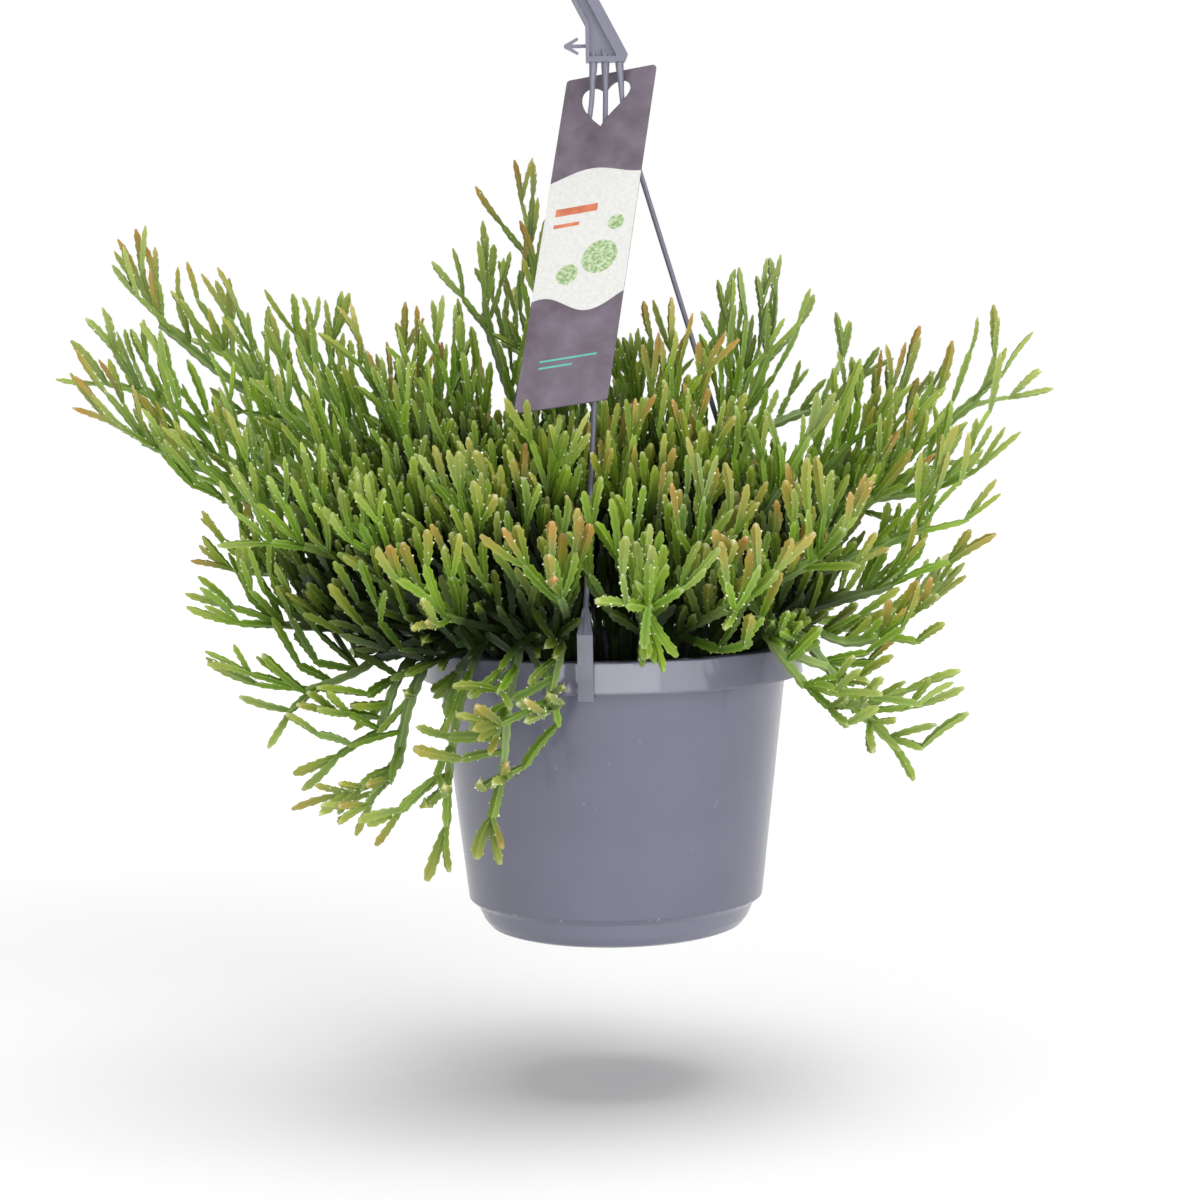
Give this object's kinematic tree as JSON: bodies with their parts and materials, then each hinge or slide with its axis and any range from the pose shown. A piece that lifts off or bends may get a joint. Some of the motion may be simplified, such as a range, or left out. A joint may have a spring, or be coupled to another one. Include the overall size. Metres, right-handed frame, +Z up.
{
  "type": "potted rhipsalis ewaldiana",
  "caption": "Hanging plastic pot with a jointed finger-stemmed cactus, its soil, three-strand hanger and a card tag hung on the strands.",
  "frame": {"origin": "the point under the top of the hook's inside where a rail or nail bears", "axes": "+Z up, -Y towards the front where the tag hangs, +X to the right seen from the front"},
  "size_m": [0.4177, 0.3227, 0.4301],
  "materials": {
    "pot_plastic": "satin",
    "hanger_plastic": "satin",
    "soil": "matte",
    "tag_card": "satin",
    "cactus": "satin"
  },
  "bodies": {
    "root": {"pot": "pot_plastic", "soil": "soil", "hanger": "hanger_plastic", "tag": "tag_card", "shoot_01": "cactus", "shoot_02": "cactus", "shoot_03": "cactus", "shoot_04": "cactus", "shoot_05": "cactus", "shoot_06": "cactus", "shoot_07": "cactus", "shoot_08": "cactus", "shoot_09": "cactus", "shoot_10": "cactus", "shoot_11": "cactus", "shoot_12": "cactus", "shoot_13": "cactus", "shoot_14": "cactus", "shoot_15": "cactus", "shoot_16": "cactus", "shoot_17": "cactus", "shoot_18": "cactus", "shoot_19": "cactus", "shoot_20": "cactus", "shoot_21": "cactus", "shoot_22": "cactus", "shoot_23": "cactus", "shoot_24": "cactus", "shoot_25": "cactus", "shoot_26": "cactus", "shoot_27": "cactus", "shoot_28": "cactus", "shoot_29": "cactus", "shoot_30": "cactus", "shoot_31": "cactus", "shoot_32": "cactus", "shoot_33": "cactus", "shoot_34": "cactus", "shoot_35": "cactus", "shoot_36": "cactus", "shoot_37": "cactus", "shoot_38": "cactus", "shoot_39": "cactus", "shoot_40": "cactus", "shoot_41": "cactus", "shoot_42": "cactus", "shoot_43": "cactus", "shoot_44": "cactus", "shoot_45": "cactus", "shoot_46": "cactus", "shoot_47": "cactus", "shoot_48": "cactus", "shoot_49": "cactus", "shoot_50": "cactus", "shoot_51": "cactus", "shoot_52": "cactus", "shoot_53": "cactus", "shoot_54": "cactus", "shoot_55": "cactus"}
  },
  "joints": []
}
